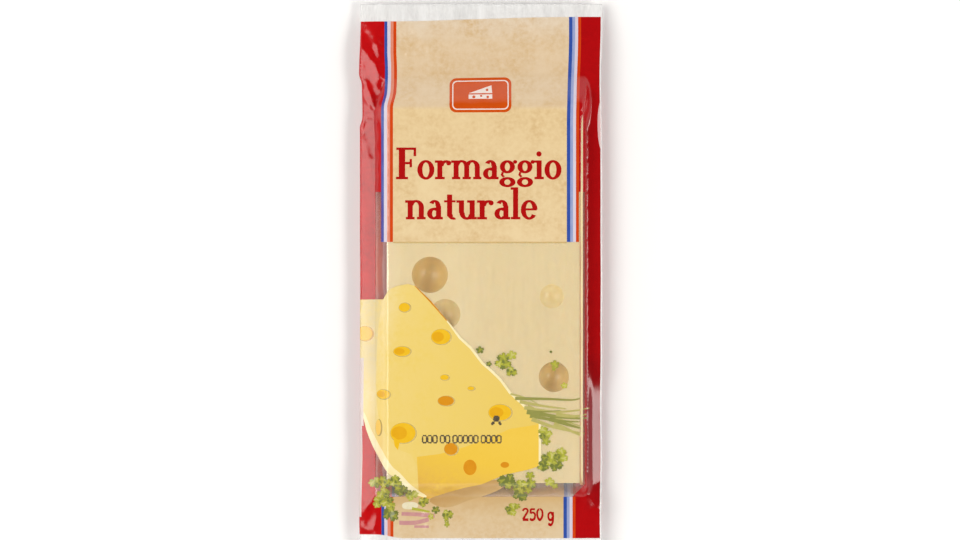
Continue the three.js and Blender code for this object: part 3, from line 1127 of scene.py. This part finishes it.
# Inks of both webs: colour, the colour it drifts to, how much it covers, and the drift's size.
INKS = {
    "blue_ink": ("#2c4ca2", "#3a56a6", 0.97, 5.0),
    "pale_blue_ink": ("#8f9fd0", "#a3aed6", 0.9, 4.0),
    "white_ink": ("#d9d2df", "#d2c8d6", 0.95, 4.0),
    "salmon_ink": ("#e2917a", "#dd8468", 0.95, 4.0),
    "orange_ink": ("#d2460e", "#c63c10", 0.98, 5.0),
    "badge_ink": ("#cd510e", "#c64a0c", 1.0, 4.0),
    "badge_mark_ink": ("#ecdfd8", "#e6d4ca", 1.0, 3.0),
    # painted shadow of the label's lower edge on the cheese
    "label_shadow_ink": ("#dcc182", "#d4b474", 0.6, 2.0),
    "title_ink": ("#b00d0c", "#a50c0b", 1.0, 3.0),
    "wedge_rim_ink": ("#f5eac2", "#efe0a6", 1.0, 3.0),
    "wedge_skirt_ink": ("#f6ebc4", "#f1dfa0", 1.0, 5.0),
    "eye_glow_ink": ("#f0d67c", "#eed074", 0.5, 3.0),
    "eye_ink": ("#e8b61e", "#ebbd2c", 1.0, 3.0),
    "eye_shade_ink": ("#dfa41a", "#e2aa1e", 1.0, 3.0),
    "deep_eye_ink": ("#d9941f", "#d2881c", 1.0, 3.0),
    "pale_eye_ink": ("#efc867", "#edbd50", 1.0, 3.0),
    "deep_leaf_ink": ("#7a8240", "#6c763a", 0.94, 1.5),
    "leaf_ink": ("#979a3c", "#a6a648", 0.92, 1.5),
    "bright_leaf_ink": ("#aeb036", "#bcbc50", 0.92, 1.5),
    "pale_leaf_ink": ("#c6c464", "#d0cc80", 0.9, 1.5),
    "deep_chive_ink": ("#9c9c54", "#8e904a", 0.88, 2.5),
    "chive_ink": ("#c6bf74", "#b8b064", 0.82, 2.5),
    "onion_ink": ("#c88a94", "#d3a296", 0.9, 2.0),
    "cream_ink": ("#efe6cc", "#e4dcb4", 0.95, 1.5),
    # painted shade along the block's right edge, over its rim and beside it
    "edge_shade_ink": ("#b88070", "#ac7262", 0.5, 6.0),
    "rim_shade_ink": ("#c89a70", "#c2946c", 0.72, 6.0),
    # a pale lilac painted highlight on the film's left edge
    "pale_edge_highlight_ink": ("#dcd0d6", "#e6d6c8", 0.9, 6.0),
}

# Inks whose colour runs across the print: second colour, cover, and the run's ends and stops.
RUNS = {
    "red_ink": (
        "#9f060b", 0.99,
        ((-53, 0), (53, 0), [(0.0, "#ca0e12"), (0.1, "#c20b0e"), (0.5, "#b8080c"),
                             (1.0, "#b2080d")]),
    ),
    "low_red_ink": (
        "#8c080e", 0.99,
        ((0, -102), (0, -34), [(0.0, "#b2080d"), (0.25, "#860a10"), (0.7, "#860a10"),
                               (1.0, "#b2080d")]),
    ),
    # The parchment darkens towards the top of the lower panel, near Y -96: painted shade under the
    # block's bottom edge.
    "parchment_ink": (
        "#cfac78", 0.97,
        ((0, -114), (0, 114), [(0.0, "#dfcaa8"), (0.035, "#dec8a2"), (0.06, "#d8bd90"),
                               (0.078, "#cfab72"), (0.5, "#ead4a8"),
                               (0.821, "#e9d1a2"), (0.828, "#e1cbab"), (0.95, "#e3cdad"),
                               (1.0, "#e8dac6")]),
    ),
    "wedge_top_ink": (
        "#e6c964", 1.0,
        ((-54, -30), (26, -50), [(0.0, "#e0cd98"), (0.08, "#ecd8a0"), (0.2, "#e9cf7e"),
                                 (0.55, "#e6ca70"), (1.0, "#e3c463")]),
    ),
    "wedge_side_ink": (
        "#ead080", 1.0,
        ((-54, -40), (-27, -84), [(0.0, "#dccb9c"), (0.25, "#eddaa4"), (0.55, "#e8ce7e"),
                                  (1.0, "#e6ca70")]),
    ),
    "wedge_front_ink": (
        "#e8c044", 1.0,
        ((2, -68), (-6, -97), [(0.0, "#ebc650"), (0.45, "#eac248"), (0.75, "#e2b84e"),
                               (1.0, "#d6a652")]),
    ),
    "wedge_shadow_ink": (
        "#cba468", 0.9,
        ((-6, -91), (-3, -101), [(0.0, "#bc955c"), (0.3, "#c49d64"), (0.6, "#d0ad76"),
                                 (1.0, "#dcc394")]),
    ),
}


# Inks seen from inside, through the sealing layer: paler and duller.
INSIDE = {
    "red_ink": ("#fa9892", "#f0807c", 1.0, 5.0),
    "parchment_ink": ("#d6b48a", "#cca67c", 1.0, 5.0),
    "blue_ink": ("#8d92b4", "#848bb0", 1.0, 5.0),
    "pale_blue_ink": ("#b4b2c4", "#aeb0c6", 1.0, 5.0),
    "white_ink": ("#cdbcbe", "#c8b4b8", 1.0, 5.0),
    "salmon_ink": ("#c89484", "#c48c7c", 1.0, 5.0),
    "orange_ink": ("#c47a5c", "#bf7054", 1.0, 5.0),
}


def printed(name, kind):
    """The material of one ink."""
    if kind in INKS:
        return ink(name, *INKS[kind])
    second, cover, run = RUNS[kind]
    return ink(name, None, second, cover, 2.2, run)


def front_inks():
    """The front web's materials by ink, with the clear film last for its inner face."""
    made = {kind: printed(kind, kind) for kind in (*INKS, *RUNS)}
    made["sealed_film"] = clear_film("sealed_film", 0.55, "#fdfdfc")
    made["clear_film"] = clear_film("clear_film", 0.04, "#f4f0ee")
    return made


def back_inks():
    """The back web's materials by ink, outside, and then the same inks as they show from inside."""
    outside = ("red_ink", "parchment_ink", "blue_ink", "pale_blue_ink", "white_ink", "salmon_ink",
               "orange_ink")
    made = {kind: printed("back_" + kind, kind) for kind in outside}
    made["sealed_film"] = clear_film("back_sealed_film", 0.55, "#fdfdfc")
    inner = [
        ink("inside_" + kind, *INSIDE[kind], roughness=0.35) if kind in INSIDE else made[kind]
        for kind in made
    ]
    return made, inner


# ---- pieces --------------------------------------------------------------------------------------

# Eyes of the block: place from its middle, radius, and depth of the middle below the face.
FRONT_EYES = [
    (-24.1, 8.4, 8.2, 2.2), (-17.4, -8.9, 7.2, -2.6), (29.4, -1.1, 6.6, -4.0),
    (30.3, -36.4, 6.8, 1.6), (-12.0, -58.0, 6.2, 1.5),
]
BACK_EYES = [
    (-20.0, 42.0, 6.6, 2.0), (14.0, 22.0, 7.4, 1.8), (2.0, -30.0, 5.6, 1.4),
    (26.0, -64.0, 5.0, -2.6), (27.0, 62.0, 4.4, 1.0),
]


EYE_RINGS = 36
RIM_ANGLE = 40  # degrees between faces, above which an edge is rounded


def eye_points():
    """A mesh with one point for each eye, which carries the eye's radius."""
    middle = (CHEESE[0] + CHEESE[1]) / 2
    places = [(x, y, CHEESE[1][2] - depth) for x, y, _, depth in FRONT_EYES]
    places += [(x, y, CHEESE[0][2] + depth) for x, y, _, depth in BACK_EYES]
    mesh = bpy.data.meshes.new("cheese")
    mesh.from_pydata(
        [((middle[0] + x) * MM, (middle[1] + y) * MM, z * MM) for x, y, z in places], [], []
    )
    radii = mesh.attributes.new("eye_radius", "FLOAT", "POINT")
    radii.data.foreach_set("value", [eye[2] * MM for eye in FRONT_EYES + BACK_EYES])
    return mesh


def eye_tree():
    """Geometry Nodes that cut a ball out of a block at each point."""
    tree, given = new_tree("block_with_eyes", {
        "Block Size": "Vector", "Block Middle": "Vector", "Eye Segments": "Int",
        "Paste": "Material", "Lining": "Material",
    })
    cube = add(tree, "GeometryNodeMeshCube", {"Size": given["Block Size"]})
    block = add(
        tree, "GeometryNodeTransform",
        {"Geometry": cube.outputs["Mesh"], "Translation": given["Block Middle"]},
    )
    paste = add(
        tree, "GeometryNodeSetMaterial",
        {"Geometry": block.outputs[0], "Material": given["Paste"]},
    )
    ball = add(
        tree, "GeometryNodeMeshUVSphere",
        {"Segments": given["Eye Segments"], "Rings": EYE_RINGS, "Radius": 1.0},
    )
    radius = add(tree, "GeometryNodeInputNamedAttribute", {"Name": "eye_radius"}, data_type="FLOAT")
    balls = add(
        tree, "GeometryNodeInstanceOnPoints",
        {"Points": given["Geometry"], "Instance": ball.outputs["Mesh"], "Scale": radius.outputs[0]},
    )
    real = add(tree, "GeometryNodeRealizeInstances", {"Geometry": balls.outputs[0]})
    lined = add(
        tree, "GeometryNodeSetMaterial",
        {"Geometry": real.outputs[0], "Material": given["Lining"]},
    )
    cut = add(
        tree, "GeometryNodeMeshBoolean",
        {"Mesh 1": paste.outputs[0], "Mesh 2": lined.outputs[0]},
        operation="DIFFERENCE", solver="EXACT",
    )
    done = add(tree, "GeometryNodeRealizeInstances", {"Geometry": cut.outputs[0]})
    add(tree, "NodeGroupOutput", {"Geometry": done.outputs[0]})
    return tree


class PACKET_OT_cheese(bpy.types.Operator):
    """Makes the block of cheese with its eyes"""

    bl_idname = "packet.cheese"
    bl_label = "Cheese"

    def execute(self, context):
        settings = context.scene.packet_cheese
        piece = new_object("cheese", eye_points())
        paste = cheese_paste("hard_cheese_paste", settings)
        lining = eye_lining("eye_lining", settings)
        for material in (paste, lining):
            piece.data.materials.append(material)
        size, middle = CHEESE[1] - CHEESE[0], (CHEESE[1] + CHEESE[0]) / 2
        run_tree(piece, eye_tree(), {
            "Block Size": [float(v) * MM for v in size],
            "Block Middle": [float(v) * MM for v in middle],
            "Eye Segments": settings.eye_segments,
            "Paste": paste,
            "Lining": lining,
        })
        bevel = piece.modifiers.new("edges", "BEVEL")
        bevel.width = settings.rim
        bevel.segments = 3
        bevel.limit_method = "ANGLE"
        bevel.angle_limit = math.radians(RIM_ANGLE)
        applied(piece)
        piece.data.shade_smooth()
        settle(piece, "cheese", "cheese_block")
        return {"FINISHED"}


class PACKET_OT_front_film(bpy.types.Operator):
    """Makes the printed front web"""

    bl_idname = "packet.front_film"
    bl_label = "Front film"

    def execute(self, context):
        web(context, "front_film", front_print(), front_inks())
        return {"FINISHED"}


class PACKET_OT_back_film(bpy.types.Operator):
    """Makes the formed back web"""

    bl_idname = "packet.back_film"
    bl_label = "Back film"

    def execute(self, context):
        web(context, "back_film", back_print(), *back_inks())
        return {"FINISHED"}


# The date code. ZERO and MARK are patterns of dots, and both places are lower left corners.
ZERO = (".###.", "#...#", "#...#", "#...#", "#...#", "#...#", ".###.")
CODE = "000 00 00000 0000"
CODE_PLACE = (-25.6, -73.0)
CODE_STEP, CODE_GAP = 5.2, 2.2  # from figure to figure, and the room between groups, in dots
MARK_PLACE = (4.8, -65.0)
DROP_LIFT, DROP_HEIGHT, DROP_SEED = 0.02, 0.05, 3
MARK = ("...####...", "..######..", "..######..", "..######..", "...####...", ".##....##.",
        "###....###", "##......##")


def pattern_points(pattern, left, base, across, up):
    """Middles of a pattern's dots."""
    return [
        (left + k * across, base + row * up)
        for row, line in enumerate(pattern[::-1])
        for k, mark in enumerate(line) if mark == "#"
    ]


def code_points(settings):
    """Middles of the code's dots on the flat packet: rows of zeros, and a small mark above them."""
    across, up = settings.across / MM, settings.up / MM
    points, x = [], CODE_PLACE[0]
    for figure in CODE:
        if figure == " ":
            x += CODE_GAP * across
            continue
        points += pattern_points(ZERO, x, CODE_PLACE[1], across, up)
        x += CODE_STEP * across
    return np.array(points + pattern_points(MARK, *MARK_PLACE, across, up))


def dot_tree():
    """Geometry Nodes that set a small flat drop at each point."""
    tree, given = new_tree("sprayed_dots", {
        "Dot Width": "Float", "Dot Height": "Float", "Seed": "Int", "Ink": "Material",
    })
    radius = add(tree, "ShaderNodeMath", {0: given["Dot Width"], 1: 0.5}, operation="MULTIPLY")
    drop = add(
        tree, "GeometryNodeMeshCylinder",
        {"Vertices": 8, "Radius": radius.outputs[0], "Depth": given["Dot Height"]},
    )
    size = add(
        tree, "FunctionNodeRandomValue", {2: 0.8, 3: 1.15, "Seed": given["Seed"]},
        data_type="FLOAT",
    )
    drops = add(
        tree, "GeometryNodeInstanceOnPoints",
        {"Points": given["Geometry"], "Instance": drop.outputs["Mesh"], "Scale": size.outputs[1]},
    )
    real = add(tree, "GeometryNodeRealizeInstances", {"Geometry": drops.outputs[0]})
    done = add(
        tree, "GeometryNodeSetMaterial", {"Geometry": real.outputs[0], "Material": given["Ink"]}
    )
    add(tree, "NodeGroupOutput", {"Geometry": done.outputs[0]})
    return tree


def spray_ink(name, code):
    """Drops of dark quick-drying ink: almost matt, and a little uneven in strength."""

    def drops(tree, place):
        tone = add(
            tree, "ShaderNodeMix", {0: patches(tree, place, 1.5), 6: code, 7: srgb("#5c4f38")},
            data_type="RGBA",
        )
        return add(
            tree, "ShaderNodeBsdfPrincipled",
            {"Base Color": tone.outputs[2], "Roughness": 0.55, "IOR": 1.5},
        )

    return new_material(name, drops)


class PACKET_OT_date_code(bpy.types.Operator):
    """Makes the sprayed date code on the front web"""

    bl_idname = "packet.date_code"
    bl_label = "Date code"

    def execute(self, context):
        settings = context.scene.packet_code
        surface = Surface(context.scene.packet_film)
        x, y = code_points(settings).T
        mesh = bpy.data.meshes.new("date_code")
        height = surface.front(x, y) + DROP_LIFT
        mesh.from_pydata(np.column_stack([x, y, height]) * MM, [], [])
        piece = new_object("date_code", mesh)
        drops = spray_ink("spray_ink", tuple(settings.ink))
        mesh.materials.append(drops)
        run_tree(piece, dot_tree(), {
            "Dot Width": settings.dot, "Dot Height": DROP_HEIGHT * MM, "Seed": DROP_SEED,
            "Ink": drops,
        })
        settle(piece, "front_film")
        return {"FINISHED"}


# Camera, lights and floor. The camera's place over the floor is in millimetres.
SENSOR = 36
CAMERA_PLACE = (-0.4, 2.8)
TENT_LIGHT = 1.15
TENT_TOP = 0.04  # light from straight above, where the tent is open
LAMPS = (  # place, width, length and power
    ("left", (-0.75, 0.04, 1.15), 0.8, 0.9, 11.0),
    ("right", (0.9, -0.25, 1.02), 0.7, 0.38, 8.0),
)
LAMP_COLOUR = (1.0, 0.965, 0.925)
FLOOR_HALF = 3.0  # metres


class PACKET_OT_stage(bpy.types.Operator):
    """Makes the camera, the lamps and the floor"""

    bl_idname = "packet.stage"
    bl_label = "Stage"

    def execute(self, context):
        settings = context.scene.packet_stage
        scene = context.scene
        scene.view_settings.view_transform = "Standard"
        self.camera(scene, settings)
        self.lamps(scene, settings)
        self.floor()
        return {"FINISHED"}

    def camera(self, scene, settings):
        """A camera straight above the packet, whose picture is view_width wide at its front."""
        data = bpy.data.cameras.new("camera")
        data.sensor_width = SENSOR
        above = settings.camera_height - PANEL * MM
        data.lens = SENSOR * above / settings.view_width
        data.clip_end = 20
        camera = bpy.data.objects.new("camera", data)
        camera.location = (*(v * MM for v in CAMERA_PLACE), settings.camera_height)
        scene.collection.objects.link(camera)
        scene.camera = camera

    def lamps(self, scene, settings):
        """A bright tent that is open above the camera, and a soft lamp on each side."""
        world = bpy.data.worlds.new("tent")
        world.use_nodes = True
        tree = world.node_tree
        tree.nodes.clear()
        way = add(tree, "ShaderNodeTexCoord").outputs["Generated"]
        up = add(tree, "ShaderNodeSeparateXYZ", {"Vector": way}).outputs["Z"]
        strength = add(
            tree, "ShaderNodeMapRange",
            {"Value": up, "From Min": 0.42, "From Max": 0.72, "To Min": TENT_LIGHT,
             "To Max": TENT_TOP},
        ).outputs["Result"]
        light = add(tree, "ShaderNodeBackground", {"Color": WHITE, "Strength": strength})
        add(tree, "ShaderNodeOutputWorld", {"Surface": light.outputs[0]})
        scene.world = world
        for name, place, width, size, power in LAMPS:
            data = bpy.data.lights.new(name, "AREA")
            data.shape = "RECTANGLE"
            data.size, data.size_y = width, size
            data.energy = power * settings.lamp
            data.color = LAMP_COLOUR
            lamp = bpy.data.objects.new(name, data)
            lamp.location = place
            lamp.rotation_mode = "QUATERNION"
            lamp.rotation_quaternion = (-Vector(place)).to_track_quat("-Z", "Y")
            scene.collection.objects.link(lamp)

    def floor(self):
        """A sheet of white paper under the packet."""
        mesh = bpy.data.meshes.new("floor")
        mesh.from_pydata([(x, y, 0) for x, y in rectangle(*[-FLOOR_HALF] * 2, *[FLOOR_HALF] * 2)],
                         [], [(0, 1, 2, 3)])

        def paper(tree, place):
            return add(
                tree, "ShaderNodeBsdfPrincipled",
                {"Base Color": srgb("#fcfcfc"), "Roughness": 0.9, "IOR": 1.45},
            )

        mesh.materials.append(new_material("white_paper", paper))
        new_object("floor", mesh)


class PACKET_PT_panel(bpy.types.Panel):
    """The packet's steps and settings"""

    bl_idname = "PACKET_PT_panel"
    bl_label = "Film packet"
    bl_space_type = "VIEW_3D"
    bl_region_type = "UI"
    bl_category = "Packet"

    def draw(self, context):
        for operator in OPERATORS:
            self.layout.operator(operator.bl_idname)


SETTINGS = {
    "packet_cheese": CheeseSettings,
    "packet_film": FilmSettings,
    "packet_code": CodeSettings,
    "packet_stage": StageSettings,
}
OPERATORS = (
    PACKET_OT_stage, PACKET_OT_cheese, PACKET_OT_back_film, PACKET_OT_front_film,
    PACKET_OT_date_code,
)


def register():
    """Registers the settings, the operators and the panel."""
    for name, group in SETTINGS.items():
        bpy.utils.register_class(group)
        setattr(bpy.types.Scene, name, PointerProperty(type=group))
    for made in (*OPERATORS, PACKET_PT_panel):
        bpy.utils.register_class(made)


def unregister():
    """Takes them away again."""
    for made in (PACKET_PT_panel, *OPERATORS):
        bpy.utils.unregister_class(made)
    for name, group in SETTINGS.items():
        delattr(bpy.types.Scene, name)
        bpy.utils.unregister_class(group)


def main():
    """Builds the packet."""
    register()
    bpy.ops.packet.stage()
    bpy.ops.packet.cheese()
    bpy.ops.packet.back_film()
    bpy.ops.packet.front_film()
    bpy.ops.packet.date_code()


if __name__ == "__main__":
    main()
